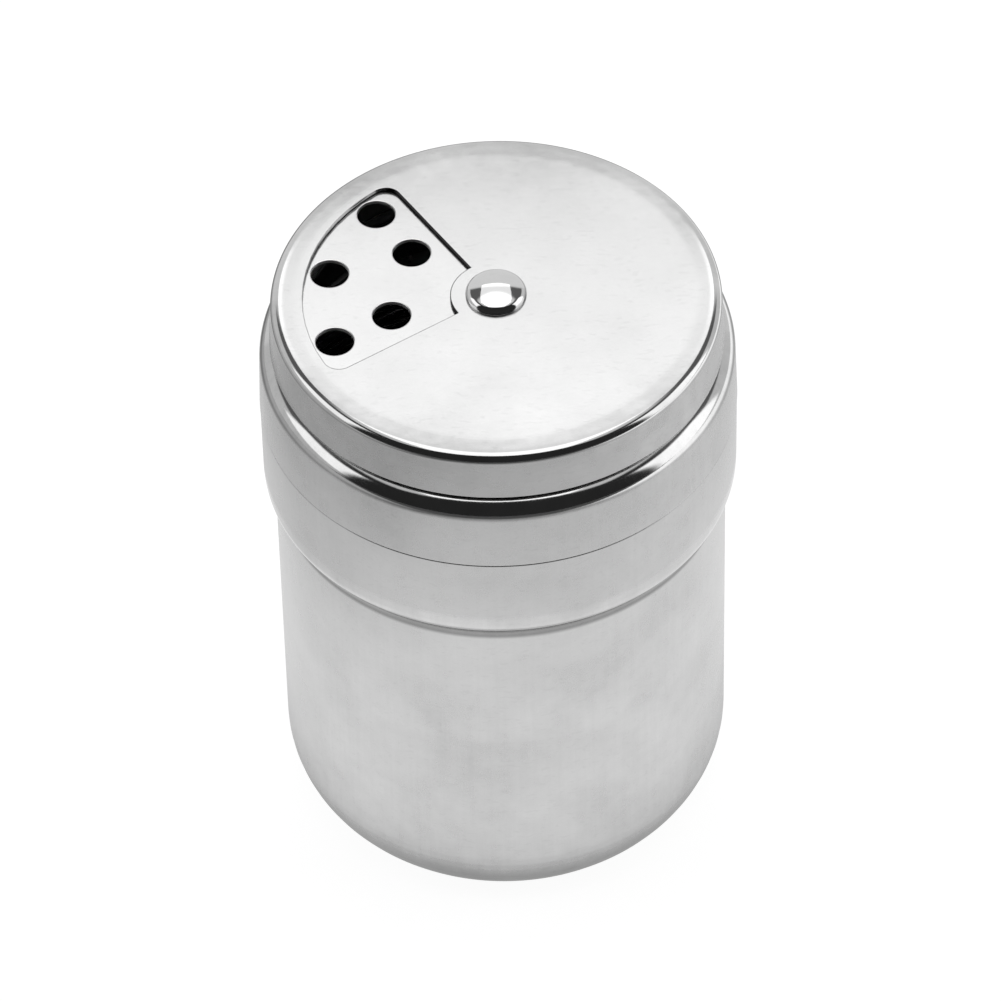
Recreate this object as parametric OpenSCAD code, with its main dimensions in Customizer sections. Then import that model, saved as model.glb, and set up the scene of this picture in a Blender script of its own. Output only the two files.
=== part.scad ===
// Steel spice shaker: a deep-drawn jar, a screw-on sifter lid and a rotating cover with a window.
// The origin is the centre of the base, +Z is up, and all lengths are in millimetres.
// Angles run counter-clockwise seen from above and start at +X.

/* [Jar] */
// Outside diameter of the jar's straight wall
jar_d = 57.2; // [50:0.1:66]
// Height from the base to the shoulder that the lid's edge meets
jar_h = 65.6; // [50:0.1:90]
// Sheet thickness of the jar
jar_wall = 0.5; // [0.4:0.05:0.6]
// How far the collar stands out from the straight wall
collar_out = 1.35; // [1:0.05:1.6]
// Height from the middle of the step below the collar to the shoulder
collar_h = 12.5; // [8:0.1:20]
// Angle of the step below the collar, from vertical
step_angle = 40; // [30:1:50]
// Rounding of both bends of that step
step_r = 2.4; // [1:0.1:2.5]
// Rounding of the collar's upper edge
collar_edge_r = 0.3; // [0.1:0.05:0.5]
// Angle at which the bottom's two roundings meet, from vertical
bottom_angle = 41; // [35:1:55]
// Wide rounding that leads from the wall into the bottom corner
bottom_wide_r = 11.5; // [6:0.5:14]
// Tight rounding that leads from the bottom corner into the base
bottom_tight_r = 2.75; // [2:0.25:6]

/* [Neck and thread] */
// Height of the neck above the collar's shoulder
neck_h = 8.05; // [7.5:0.05:12]
// Bend between the shoulder and the neck
neck_root_r = 0.4; // [0.2:0.05:0.6]
// Depth of the lip's fold, down from its top
hem_h = 1.5; // [0.9:0.05:1.6]
// Rounding of the lip's folded edge
hem_r = 0.45; // [0.2:0.05:0.5]
// Rise of the thread in one turn
thread_lead = 3.2; // [3:0.1:4]
// Turns of the ridge on the neck
neck_thread_turns = 1.25; // [1:0.05:1.3]
// Turns of the ridge in the liner
liner_thread_turns = 0.85; // [0.5:0.05:1]
// Height of both ridges
thread_h = 0.8; // [0.6:0.05:1]
// Width of a ridge at its foot
thread_foot_w = 1.8; // [1.6:0.05:1.9]
// Width of a ridge at its crest
thread_crest_w = 1; // [0.8:0.05:1.1]
// Gap between a ridge's crest and the wall that it faces
thread_gap = 0.3; // [0.2:0.05:0.5]
// Distance from a ridge's end to the nearest edge of its wall
thread_margin = 0.1; // [0.05:0.05:0.3]
// Angle over which a ridge rises from its wall at each end
thread_fade = 30; // [15:5:60]

/* [Lid] */
// How far the lid's band stands out from the jar's collar
lid_out = 0.05; // [0:0.05:0.3]
// How much the band's radius shrinks towards the lid's shoulder
band_taper = 0.35; // [0:0.05:0.6]
// Sheet thickness of the lid
lid_wall = 0.5; // [0.4:0.05:0.6]
// Seam between the lid's edge and the jar's shoulder
seam_gap = 0.15; // [0.1:0.05:0.5]
// Rounding of the lid's shoulder
shoulder_r = 2.6; // [1.5:0.1:2.6]
// Bend between the shoulder and the riser under the cover
riser_root_r = 0.4; // [0.3:0.05:0.6]
// Rounding between the riser and the sifter plate
plate_edge_r = 1.4; // [0.8:0.1:1.5]
// Wall of the threaded liner
liner_wall = 1.15; // [0.9:0.05:1.5]
// Radial play of the liner in the lid
liner_fit = 0.05; // [0.02:0.01:0.1]
// Distance from the lid's lower edge up to the liner
liner_inset = 0.4; // [0.2:0.05:0.5]
// Thickness of the liner's inward flange
flange_t = 0.8; // [0.6:0.05:1.2]
// How far the flange and the sealing ring reach in past the liner's wall
flange_w = 1.9; // [1.6:0.05:2.1]
// Thickness of the sealing ring
seal_t = 0.8; // [0.5:0.05:1.5]
// Play of the sealing ring beside the liner
seal_fit = 0.1; // [0.05:0.05:0.2]
// Play between the sealing ring and the jar's lip
lip_fit = 0.05; // [0.02:0.01:0.1]

/* [Sifter holes] */
// Diameter of the large holes that show in the window
large_hole_d = 4.8; // [3:0.1:5.5]
// Direction of the middle of the large holes
holes_dir = 166.7; // [0:0.1:360]
// Distance from the window's outer arc in to the outer row's centres
outer_row_inset = 2.8; // [2.5:0.05:4]
// Distance between the rows of large holes
large_row_pitch = 7.95; // [6:0.05:9]
// Angle between neighbouring large holes in the outer row
outer_row_angle = 32.5; // [28:0.5:34]
// Angle from the holes' middle to each large hole in the inner row
inner_row_angle = 25; // [20:0.5:30]
// Diameter of the fine holes on the opposite side
fine_hole_d = 2.2; // [1.5:0.1:2.8]
// Distance between the rows of fine holes
fine_row_pitch = 4.6; // [3.5:0.1:5]
// Fine holes in the outermost of their three rows
fine_holes_outer = 6; // [4:1:7]
// Angle that each row of fine holes spans
fine_row_angle = 64; // [40:1:70]

/* [Rotating cover] */
// Sheet thickness of the cover
cover_wall = 0.45; // [0.4:0.05:0.6]
// Distance from the lid's band in to the foot of the cover's skirt
shoulder_w = 1.6; // [1.2:0.05:2]
// Gap between the lid's shoulder and the foot of the skirt
skirt_gap = 0.45; // [0.4:0.05:1]
// Height of the skirt
skirt_h = 6.5; // [5:0.05:9]
// How much the skirt's radius shrinks towards its top
skirt_taper = 0.4; // [0:0.05:1]
// Rounding of the cover's rim
rim_r = 1.3; // [0.7:0.05:1.6]
// Width of the cover's sloping edge
edge_w = 3; // [2.5:0.05:3.5]
// Drop of the cover's sloping edge
edge_drop = 0.15; // [0.1:0.05:0.5]
// Soft bend where the sloping edge starts
edge_bend_r = 15; // [5:1:20]
// Radial gap between the top of the skirt and the riser
riser_gap = 0.95; // [0.5:0.05:1.2]
// Gap between the cover and the sifter plate
plate_gap = 0.15; // [0.1:0.05:0.4]
// Direction of the window's middle
window_dir = 168; // [0:0.5:360]
// Angle from the window's middle to each side
window_half_angle = 45; // [35:0.5:46]
// Radius of the window's inner arc
window_inner_r = 5.7; // [5:0.1:8]
// Distance from the cover's rim in to the window's outer arc
window_rim_w = 4; // [3.6:0.05:5]
// Rounding of the window's outer corners
window_corner_r = 2; // [1:0.1:4]

/* [Rivet and washers] */
// Diameter of the rivet's shank
shank_d = 4; // [3:0.1:4.5]
// Radial play of the pieces on the shank
shank_fit = 0.05; // [0.02:0.01:0.1]
// Diameter of the rivet's head
head_d = 7.6; // [6.5:0.1:9]
// Height of the head's rim
head_rim_h = 0.4; // [0.3:0.05:1]
// Height of the head's dome above its rim
head_dome_h = 1.2; // [0.8:0.1:2]
// Fullness of the dome: 2 is an ellipse, and more is flatter on top with a rounder edge
head_fullness = 2.4; // [2:0.1:4]
// Diameter of the clinched tail
tail_d = 6.2; // [5.5:0.1:7]
// Height of the clinched tail
tail_h = 1.1; // [0.8:0.1:1.5]
// Diameter of the backing washer
backing_d = 10; // [9.4:0.1:12]
// Thickness of the backing washer
backing_t = 0.6; // [0.4:0.05:1]
// Diameter of the dished spring washer
spring_d = 9; // [7:0.1:9.2]
// Thickness of the dished spring washer
spring_t = 0.2; // [0.15:0.05:0.25]
// Space for the spring washer between the plate and the backing washer
spring_space = 0.45; // [0.3:0.05:0.7]
// Play between the spring washer's raised edge and the plate
spring_fit = 0.05; // [0.03:0.01:0.08]

/* [Hidden] */
$fn = 96;
// Largest step along a rounded corner, in degrees
arc_step = 8;
// Sections of a thread ridge in one turn
thread_sections = 60;
// How far a ridge's foot is sunk into the wall that carries it
thread_sink = 0.25;
// Length by which a cutter passes each face of a sheet
cut_past = 1;

// Radii, from the jar's wall out to the lid and in again to the neck
jar_r = jar_d / 2;
collar_r = jar_r + collar_out;
lid_r = collar_r + lid_out;
liner_r = lid_r - lid_wall - liner_fit;
liner_inner_r = liner_r - liner_wall;
neck_r = liner_inner_r - thread_gap - thread_h;
flange_inner_r = liner_inner_r - flange_w;

// Heights, from the jar's shoulder up to the lid's shoulder
neck_top = jar_h + neck_h;
hem_bottom = neck_top - hem_h;
seal_bottom = neck_top + lip_fit;
seal_top = seal_bottom + seal_t;
flange_top = seal_top + flange_t;
shoulder_z = flange_top + liner_fit + lid_wall;
lid_bottom = jar_h + seam_gap;
liner_bottom = lid_bottom + liner_inset;

// Radius of the band's outside at a height
function band_r(z) = lid_r - band_taper * (z - lid_bottom) / (shoulder_z - lid_bottom);

// The cover, from its skirt up to its flat top
skirt_foot_r = lid_r - shoulder_w;
skirt_foot_z = shoulder_z + skirt_gap;
rim_corner_r = skirt_foot_r - skirt_taper;
rim_corner_z = skirt_foot_z + skirt_h;
cover_top = rim_corner_z + edge_drop;
cover_underside = cover_top - cover_wall;
window_outer_r = rim_corner_r - window_rim_w;

// The riser and the sifter plate under the cover
riser_r = rim_corner_r - cover_wall - riser_gap;
shoulder_rounding = min(shoulder_r, band_r(shoulder_z) - riser_r - riser_root_r);
plate_top = cover_underside - plate_gap;
plate_underside = plate_top - lid_wall;
outer_row_r = window_outer_r - outer_row_inset;
fine_dir = holes_dir + 180;

// The rivet's stack
shank_r = shank_d / 2;
shank_hole_r = shank_r + shank_fit;
backing_top = plate_underside - spring_space;
backing_bottom = backing_top - backing_t;
tail_bottom = backing_bottom - tail_h;

// The thread's heights: a liner ridge runs half a lead below the neck's ridge
neck_thread_end_z = hem_bottom - thread_foot_w / 2 - thread_margin;
neck_thread_start_z = neck_thread_end_z - neck_thread_turns * thread_lead;
liner_helix_z = neck_thread_start_z - thread_lead / 2;
liner_thread_start_z = liner_bottom + thread_foot_w / 2 + thread_margin;
liner_thread_start_turn = (liner_thread_start_z - liner_helix_z) / thread_lead;
groove_narrowing = 1.2 * jar_wall;

// The bottom corner's sloping tangent, which the two roundings share
bottom_slope = bottom_wide_r * tan(bottom_angle / 2) + bottom_tight_r * tan((90 - bottom_angle) / 2);
step_half_h = collar_out / tan(step_angle) / 2;
step_mid_z = jar_h - collar_h;

function unit(v) = v / norm(v);
function left_of(v) = [-v[1], v[0]];
function flat_point(corner) = [corner[0], corner[1]];
function reversed(list) = [for (i = [len(list) - 1 : -1 : 0]) list[i]];
function heading(corners, i) = unit(flat_point(corners[i + 1]) - flat_point(corners[i]));

// The turn from one angle to another by the shorter way
function short_turn(from, to) = (to - from + 540) % 360 - 180;

// Points of an arc about a centre
function arc(centre, r, from, turn) =
    let (steps = max(2, ceil(abs(turn) / arc_step)))
    [for (k = [0 : steps]) centre + r * [cos(from + turn * k / steps), sin(from + turn * k / steps)]];

// Points that replace one corner [x, y, rounding] between its two neighbours
function round_corner(before, corner, after) =
    let (p = flat_point(corner),
         back = unit(flat_point(before) - p),
         ahead = unit(flat_point(after) - p),
         half = acos(back * ahead) / 2,
         centre = p + unit(back + ahead) * corner[2] / sin(half),
         from = p + back * corner[2] / tan(half) - centre,
         to = p + ahead * corner[2] / tan(half) - centre,
         start = atan2(from[1], from[0]))
    arc(centre, corner[2], start, short_turn(start, atan2(to[1], to[0])));

// Points of an open outline of corners [x, y, rounding]
function rounded(corners) = [
    for (i = [0 : len(corners) - 1])
        each (i == 0 || i == len(corners) - 1 || corners[i][2] == 0)
            ? [flat_point(corners[i])]
            : round_corner(corners[i - 1], corners[i], corners[i + 1])
];

// The same open outline moved to its left by a distance, or to its right if that is negative
function moved(corners, distance) = [
    for (i = [0 : len(corners) - 1])
        let (last = len(corners) - 1,
             in_way = heading(corners, max(i - 1, 0)),
             out_way = heading(corners, min(i, last - 1)),
             sides = left_of(in_way) + left_of(out_way),
             shift = sides * distance / (1 + in_way * out_way),
             turns_left = in_way[0] * out_way[1] > in_way[1] * out_way[0],
             inner_r = corners[i][2] + (turns_left ? -distance : distance))
        [corners[i][0] + shift[0], corners[i][1] + shift[1], corners[i][2] == 0 ? 0 : max(inner_r, 0)]
];

// A ring of sheet: an outline turned about the axis, with its thickness to one side
module turned_sheet(corners, thickness) {
    rotate_extrude()
        polygon(concat(rounded(corners), reversed(rounded(moved(corners, thickness)))));
}

// A plain ring
module ring(outer_r, inner_r, bottom, top) {
    rotate_extrude()
        translate([inner_r, bottom])
            square([outer_r - inner_r, top - bottom]);
}

// How far a ridge has risen from its wall, from 0 at its ends to 1
function ridge_rise(turn, turns) = min(1, turn * 360 / thread_fade, (turns - turn) * 360 / thread_fade);

// Section of a ridge at one place along its helix, listed the same way round for both directions
function ridge_section(foot_r, wall_r, crest_r, foot_w, crest_w, rise, angle, z) =
    let (side = crest_r > foot_r ? 0.5 : -0.5,
         top_r = foot_r + (wall_r - foot_r) / 2 + (crest_r - (foot_r + wall_r) / 2) * rise,
         section = [[foot_r, -foot_w * side], [top_r, -crest_w * side],
                    [top_r, crest_w * side], [foot_r, foot_w * side]])
    [for (p = section) [p[0] * cos(angle), p[0] * sin(angle), z + p[1]]];

// A helical ridge that starts at a height and a number of turns from +X
module thread_ridge(foot_r, wall_r, crest_r, foot_w, crest_w, start_turn, start_z, turns) {
    last = ceil(turns * thread_sections);
    sections = [
        for (i = [0 : last])
            let (turn = turns * i / last)
            ridge_section(foot_r, wall_r, crest_r, foot_w, crest_w, ridge_rise(turn, turns),
                          360 * (start_turn + turn), start_z + thread_lead * turn)
    ];
    corners = len(sections[0]);
    sides = [
        for (i = [0 : last - 1], j = [0 : corners - 1])
            let (a = i * corners + j, b = i * corners + (j + 1) % corners)
            each [[a, b, a + corners], [b, b + corners, a + corners]]
    ];
    end = last * corners;
    caps = [[0, 2, 1], [0, 3, 2], [end, end + 1, end + 2], [end, end + 2, end + 3]];
    polyhedron([for (section = sections) each section], concat(sides, caps));
}

// The jar's outside, from the middle of the base up to the lip's fold
jar_outline = [
    [0, 0, 0],
    [jar_r - bottom_slope * sin(bottom_angle), 0, bottom_tight_r],
    [jar_r, bottom_slope * cos(bottom_angle), bottom_wide_r],
    [jar_r, step_mid_z - step_half_h, step_r],
    [collar_r, step_mid_z + step_half_h, step_r],
    [collar_r, jar_h, collar_edge_r],
    [neck_r, jar_h, neck_root_r],
    [neck_r, hem_bottom, 0]
];

// The lip's inward fold, which continues the neck's outside
lip_outline = [
    [neck_r, neck_top, hem_r],
    [neck_r - 2 * jar_wall, neck_top, hem_r],
    [neck_r - 2 * jar_wall, hem_bottom, 0]
];

module jar_body() {
    color("silver")
    difference() {
        union() {
            rotate_extrude()
                polygon(concat(rounded(concat(jar_outline, lip_outline)),
                               reversed(rounded(moved(jar_outline, jar_wall)))));
            thread_ridge(neck_r - thread_sink, neck_r, neck_r + thread_h, thread_foot_w, thread_crest_w,
                         0, neck_thread_start_z, neck_thread_turns);
        }
        thread_ridge(neck_r - jar_wall - thread_sink, neck_r - jar_wall, neck_r - jar_wall + thread_h,
                     thread_foot_w - groove_narrowing, thread_crest_w - groove_narrowing,
                     0, neck_thread_start_z, neck_thread_turns);
    }
}

module sealing_ring() {
    color("white")
    ring(liner_inner_r - seal_fit, flange_inner_r, seal_bottom, seal_top);
}

// The part of the lid's outside that the liner lines, from the flange's inner edge out and down
lined_outline = [
    [flange_inner_r, shoulder_z, 0],
    [band_r(shoulder_z), shoulder_z, shoulder_rounding],
    [band_r(liner_bottom), liner_bottom, 0]
];

module thread_liner() {
    color("whitesmoke")
    union() {
        rotate_extrude()
            polygon(concat(
                rounded(moved(lined_outline, -lid_wall - liner_fit)),
                [[liner_inner_r, liner_bottom], [liner_inner_r, seal_top], [flange_inner_r, seal_top]]
            ));
        thread_ridge(liner_inner_r + thread_sink, liner_inner_r, liner_inner_r - thread_h,
                     thread_foot_w, thread_crest_w,
                     liner_thread_start_turn, liner_thread_start_z, liner_thread_turns);
    }
}

// The lid's outside, from the rivet's hole out over the plate and down to the band's edge
lid_outline = [
    [shank_hole_r, plate_top, 0],
    [riser_r, plate_top, plate_edge_r],
    [riser_r, shoulder_z, riser_root_r],
    [band_r(shoulder_z), shoulder_z, shoulder_rounding],
    [lid_r, lid_bottom, 0]
];

module plate_hole(d, row_r, direction) {
    rotate([0, 0, direction])
        translate([row_r, 0, plate_underside - cut_past])
            cylinder(d = d, h = lid_wall + 2 * cut_past);
}

module large_holes() {
    for (i = [-1 : 1])
        plate_hole(large_hole_d, outer_row_r, holes_dir + i * outer_row_angle);
    for (side = [-1, 1])
        plate_hole(large_hole_d, outer_row_r - large_row_pitch, holes_dir + side * inner_row_angle);
}

module fine_holes() {
    for (row = [0 : 2]) {
        count = fine_holes_outer - row;
        for (i = [0 : count - 1])
            plate_hole(fine_hole_d, outer_row_r - row * fine_row_pitch,
                       fine_dir + fine_row_angle * (i / (count - 1) - 0.5));
    }
}

module lid_shell() {
    color("lightgray")
    difference() {
        turned_sheet(lid_outline, -lid_wall);
        large_holes();
        fine_holes();
    }
}

// The cover's outside, from the rivet's hole out over the top and down the skirt
cover_outline = [
    [shank_hole_r, cover_top, 0],
    [rim_corner_r - edge_w, cover_top, edge_bend_r],
    [rim_corner_r, rim_corner_z, rim_r],
    [skirt_foot_r, skirt_foot_z, 0]
];

// The window: a sector with sharp inner corners and rounded outer corners
module window_shape() {
    corner_centre_r = window_outer_r - window_corner_r;
    corner_angle = asin(window_corner_r / corner_centre_r);
    outer_half = window_half_angle - corner_angle;
    corner_turn = 90 + corner_angle;
    right_corner = corner_centre_r * [cos(outer_half), -sin(outer_half)];
    left_corner = corner_centre_r * [cos(outer_half), sin(outer_half)];
    polygon(concat(
        arc([0, 0], window_inner_r, window_half_angle, -2 * window_half_angle),
        arc(right_corner, window_corner_r, -window_half_angle - 90, corner_turn),
        arc([0, 0], window_outer_r, -outer_half, 2 * outer_half),
        arc(left_corner, window_corner_r, outer_half, corner_turn)
    ));
}

module rotating_cover() {
    color("gainsboro")
    difference() {
        turned_sheet(cover_outline, -cover_wall);
        translate([0, 0, cover_underside - plate_gap / 2])
            rotate([0, 0, window_dir])
                linear_extrude(cover_wall + plate_gap + cut_past)
                    window_shape();
    }
}

// The rivet, turned from the tail's middle up over the head, whose dome is half a superellipse
module rivet() {
    head_r = head_d / 2;
    dome_z = cover_top + head_rim_h;
    power = 2 / head_fullness;
    dome = [
        for (a = [arc_step : arc_step : 90 - arc_step])
            [head_r * pow(cos(a), power), dome_z + head_dome_h * pow(sin(a), power)]
    ];
    side = rounded([
        [0, tail_bottom, 0],
        [tail_d / 2, tail_bottom, tail_h / 2],
        [tail_d / 2, backing_bottom, 0],
        [shank_r, backing_bottom, 0],
        [shank_r, cover_top, 0],
        [head_r, cover_top, 0],
        [head_r, dome_z, 0]
    ]);
    color("silver")
    rotate_extrude()
        polygon(concat(side, dome, [[0, dome_z + head_dome_h]]));
}

// A dished ring whose outer edge lies on the backing washer and whose inner edge presses up on the plate
module spring_washer() {
    inner_bottom = plate_underside - spring_fit - spring_t;
    color("darkgray")
    rotate_extrude()
        polygon([
            [shank_hole_r, inner_bottom],
            [spring_d / 2, backing_top],
            [spring_d / 2, backing_top + spring_t],
            [shank_hole_r, inner_bottom + spring_t]
        ]);
}

module backing_washer() {
    color("darkgray")
    ring(backing_d / 2, shank_hole_r, backing_bottom, backing_top);
}

jar_body();
sealing_ring();
lid_shell();
thread_liner();
rotating_cover();
rivet();
spring_washer();
backing_washer();
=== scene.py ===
# %% [markdown]
# A steel spice shaker
# The shaker is pressed from thin stainless sheet: a deep-drawn jar, a screw-on lid whose top is a sifter
# plate, and a cover with a window, which turns on a rivet. The solids give every piece its size and
# place. This file dresses them: it makes each piece again as a smooth mesh, gives it a finish, and lights
# it for a photograph.

# %% Load the solids
import math

import bmesh
import bpy
from mathutils import Matrix, Vector


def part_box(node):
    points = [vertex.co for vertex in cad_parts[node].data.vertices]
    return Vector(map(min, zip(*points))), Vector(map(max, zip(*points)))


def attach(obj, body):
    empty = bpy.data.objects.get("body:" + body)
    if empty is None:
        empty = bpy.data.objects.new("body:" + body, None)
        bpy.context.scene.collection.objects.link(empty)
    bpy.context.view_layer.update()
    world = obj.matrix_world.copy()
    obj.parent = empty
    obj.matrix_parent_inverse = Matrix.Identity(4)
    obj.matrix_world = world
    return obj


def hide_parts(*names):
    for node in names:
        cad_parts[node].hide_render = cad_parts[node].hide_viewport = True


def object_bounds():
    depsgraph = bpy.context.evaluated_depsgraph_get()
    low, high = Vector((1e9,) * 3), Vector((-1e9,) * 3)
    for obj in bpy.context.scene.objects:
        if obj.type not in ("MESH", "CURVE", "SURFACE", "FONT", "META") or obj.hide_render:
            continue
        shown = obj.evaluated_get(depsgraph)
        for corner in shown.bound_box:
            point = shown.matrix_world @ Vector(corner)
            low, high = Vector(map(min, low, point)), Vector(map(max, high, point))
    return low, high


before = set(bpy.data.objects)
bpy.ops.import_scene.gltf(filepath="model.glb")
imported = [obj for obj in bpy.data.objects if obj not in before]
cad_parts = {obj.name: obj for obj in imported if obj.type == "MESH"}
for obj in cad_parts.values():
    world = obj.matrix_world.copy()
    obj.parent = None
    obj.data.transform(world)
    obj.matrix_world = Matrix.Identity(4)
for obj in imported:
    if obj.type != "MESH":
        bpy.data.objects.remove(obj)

MM = 0.001
cad_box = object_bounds()
box_mm = [[round(length / MM, 2) for length in corner] for corner in cad_box]
print("solids:", len(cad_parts), "nodes, box in mm:", box_mm)

# %% [markdown]
# The camera
# The photograph looks down at the shaker through a long lens, so its walls hardly converge. A camera that
# stands close with a wide lens would show the same rings with a strong taper. The camera here has the
# focal length and the distance that the rings of the rim, the seam and the base agree on, and it is
# rolled a little, as the photographer's was.

# %% Place the camera
IMAGE_PIXELS = 1001
FOCAL_PIXELS = 7287
SENSOR_MM = 36
CAMERA_DISTANCE = 0.9298
CAMERA_ELEVATION = math.radians(46.78)
CAMERA_ROLL = math.radians(-1.4)
CAMERA_TARGET = Vector((-0.00007, 0, 0.0456))
FAR_CLIP = 10

lens = bpy.data.cameras.new("photo_camera")
lens.sensor_width = SENSOR_MM
lens.lens = FOCAL_PIXELS * SENSOR_MM / IMAGE_PIXELS
lens.clip_end = FAR_CLIP
camera = bpy.data.objects.new("photo_camera", lens)
bpy.context.scene.collection.objects.link(camera)
bpy.context.scene.camera = camera

backward = Vector((0, -math.cos(CAMERA_ELEVATION), math.sin(CAMERA_ELEVATION)))
level_right = Vector((1, 0, 0))
level_up = backward.cross(level_right)
right = math.cos(CAMERA_ROLL) * level_right + math.sin(CAMERA_ROLL) * level_up
up = backward.cross(right)
camera.matrix_world = Matrix((right, up, backward)).transposed().to_4x4()
camera.matrix_world.translation = CAMERA_TARGET + CAMERA_DISTANCE * backward
print("lens:", round(lens.lens, 1), "mm at", CAMERA_DISTANCE, "m")

# %% [markdown]
# Sheet outlines
# Each pressed piece is a sheet of steel turned about one axis, so its shape is one outline: a few
# corners, each with the rounding of its bend. The outline could be drawn as a curve by hand, but corners
# and roundings are what the press tools really have, and they keep the sheet's thickness exact: the
# inside is the same outline, moved by the thickness.

# %% Round the corners of an outline
ARC_STEP = math.radians(6)


def arc(centre, radius, start, turn):
    """Points of an arc about a centre."""
    steps = max(2, math.ceil(abs(turn) / ARC_STEP))
    angles = [start + turn * k / steps for k in range(steps + 1)]
    return [centre + radius * Vector((math.cos(a), math.sin(a))) for a in angles]


def round_corner(before, corner, after):
    """Points that replace one corner (x, y, rounding) between its two neighbours."""
    point = Vector(corner[:2])
    back = (Vector(before[:2]) - point).normalized()
    ahead = (Vector(after[:2]) - point).normalized()
    half = back.angle(ahead) / 2
    centre = point + (back + ahead).normalized() * corner[2] / math.sin(half)
    start = point + back * corner[2] / math.tan(half) - centre
    end = point + ahead * corner[2] / math.tan(half) - centre
    first = math.atan2(start.y, start.x)
    turn = (math.atan2(end.y, end.x) - first + 3 * math.pi) % (2 * math.pi) - math.pi
    return arc(centre, corner[2], first, turn)


def rounded(corners, closed=False):
    """Points of an outline of corners (x, y, rounding)."""
    points = []
    last = len(corners) - 1
    for i, corner in enumerate(corners):
        is_end = not closed and i in (0, last)
        if is_end or corner[2] == 0:
            points.append(Vector(corner[:2]))
        else:
            points += round_corner(corners[i - 1], corner, corners[(i + 1) % len(corners)])
    return points


square_bend = [(0, 0, 0), (5, 0, 1), (5, 5, 0)]
print("a square bend of 1 mm:", len(rounded(square_bend)), "points")

# %% Move an outline by a sheet's thickness
def heading(corners, i):
    return (Vector(corners[i + 1][:2]) - Vector(corners[i][:2])).normalized()


def moved(corners, distance):
    """The same open outline moved to its left by a distance, or to its right if that is negative."""
    last = len(corners) - 1
    out = []
    for i, (x, y, rounding) in enumerate(corners):
        way_in = heading(corners, max(i - 1, 0))
        way_out = heading(corners, min(i, last - 1))
        sides = Vector((-way_in.y - way_out.y, way_in.x + way_out.x))
        shift = sides * distance / (1 + way_in.dot(way_out))
        turns_left = way_in.cross(way_out) > 0
        inner = rounding - distance if turns_left else rounding + distance
        out.append((x + shift.x, y + shift.y, max(inner, 0) if rounding else 0))
    return out


print("inside a sheet of 0.5 mm its radius is", moved(square_bend, 0.5)[1][2], "mm")

# %% [markdown]
# Turning an outline into a mesh
# A screw modifier or a spin could turn the outline. Making the rings directly is as short, and each ring
# can then be pushed in or out, which the rolled thread needs. Long flat stretches get a support ring
# close to each bend, so that smooth shading doesn't smear the bend's normals across the flat.

# %% Turn a profile about the axis
TURN_STEPS = 192
SUPPORT = 0.08
SHARP_ANGLE = math.radians(35)


def supported(points):
    """The same points, with a support point near both ends of each long stretch."""
    out = [points[0]]
    for start, end in zip(points, points[1:]):
        length = (end - start).length
        if length > 4 * SUPPORT:
            out += [start.lerp(end, SUPPORT / length), start.lerp(end, 1 - SUPPORT / length)]
        out.append(end)
    return out


def skin(bm, lower, upper):
    """Faces between two loops of equal length, or between a loop and a single point."""
    for k in range(max(len(lower), len(upper))):
        corners = [
            lower[k % len(lower)], lower[(k + 1) % len(lower)],
            upper[(k + 1) % len(upper)], upper[k % len(upper)],
        ]
        corners = list(dict.fromkeys(corners))
        if len(corners) > 2:
            bm.faces.new(corners)


def turn_profile(bm, profile, closed=True, push=None):
    """Rings of a profile of points (radius, height) in mm.

    push(radius, angle, height) tells how far a point moves outwards.
    """
    rings = []
    for radius, height in profile:
        if radius < SUPPORT / 2:
            rings.append([bm.verts.new((0, 0, height * MM))])
            continue
        ring = []
        for k in range(TURN_STEPS):
            angle = 2 * math.pi * k / TURN_STEPS
            r = radius + (push(radius, angle, height) if push else 0)
            ring.append(bm.verts.new(Vector((r * math.cos(angle), r * math.sin(angle), height)) * MM))
        rings.append(ring)
    for lower, upper in zip(rings, rings[1:] + (rings[:1] if closed else [])):
        skin(bm, lower, upper)
    return rings


def finish_piece(name, bm, node, body):
    """Makes an object of a mesh and lets it stand for a solid."""
    bmesh.ops.recalc_face_normals(bm, faces=bm.faces[:])
    mesh = bpy.data.meshes.new(name)
    bm.to_mesh(mesh)
    bm.free()
    mesh.shade_smooth()
    mesh.set_sharp_from_angle(angle=SHARP_ANGLE)
    piece = bpy.data.objects.new(name, mesh)
    bpy.context.scene.collection.objects.link(piece)
    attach(piece, body)
    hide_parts(node)
    low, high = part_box(node)
    heights = [v.co.z for v in mesh.vertices]
    gap = max(abs(min(heights) - low.z), abs(max(heights) - high.z)) / MM
    counts = f"{len(mesh.vertices)} points, {len(mesh.polygons)} faces"
    print(f"{name}: {counts}, ends within {gap:.3f} mm of the solid's")
    return piece


print("one turn:", TURN_STEPS, "steps")

# %% [markdown]
# Where the pieces are
# The solids already hold the main sizes, so they are read from there: the outer radius, the lowest and
# the highest point of each piece. Only what a box can't tell, such as a wall or a bend, is written here,
# in millimetres.

# %% Read the main sizes from the solids
def reach(node):
    """Outer radius, lowest and highest point of a solid, in mm."""
    low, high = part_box(node)
    return high.x / MM, low.z / MM, high.z / MM


collar_r, base_z, neck_top = reach("jar_body")
lid_r, lid_bottom, plate_top = reach("lid_shell")
skirt_foot_r, skirt_foot_z, cover_top = reach("rotating_cover")
head_r, tail_bottom, head_top = reach("rivet")
seal_r, seal_bottom, seal_top = reach("sealing_ring")
liner_r, liner_bottom, flange_top = reach("thread_liner")
spring_r, spring_bottom, spring_top = reach("spring_washer")
backing_r, backing_bottom, backing_top = reach("backing_washer")
SHEET = 0.5
EDGE_ROUNDING = 0.08
SHANK_HOLE_R = 2.05
print("lid radius", round(lid_r, 2), "mm, cover top", round(cover_top, 2), "mm")

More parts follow.
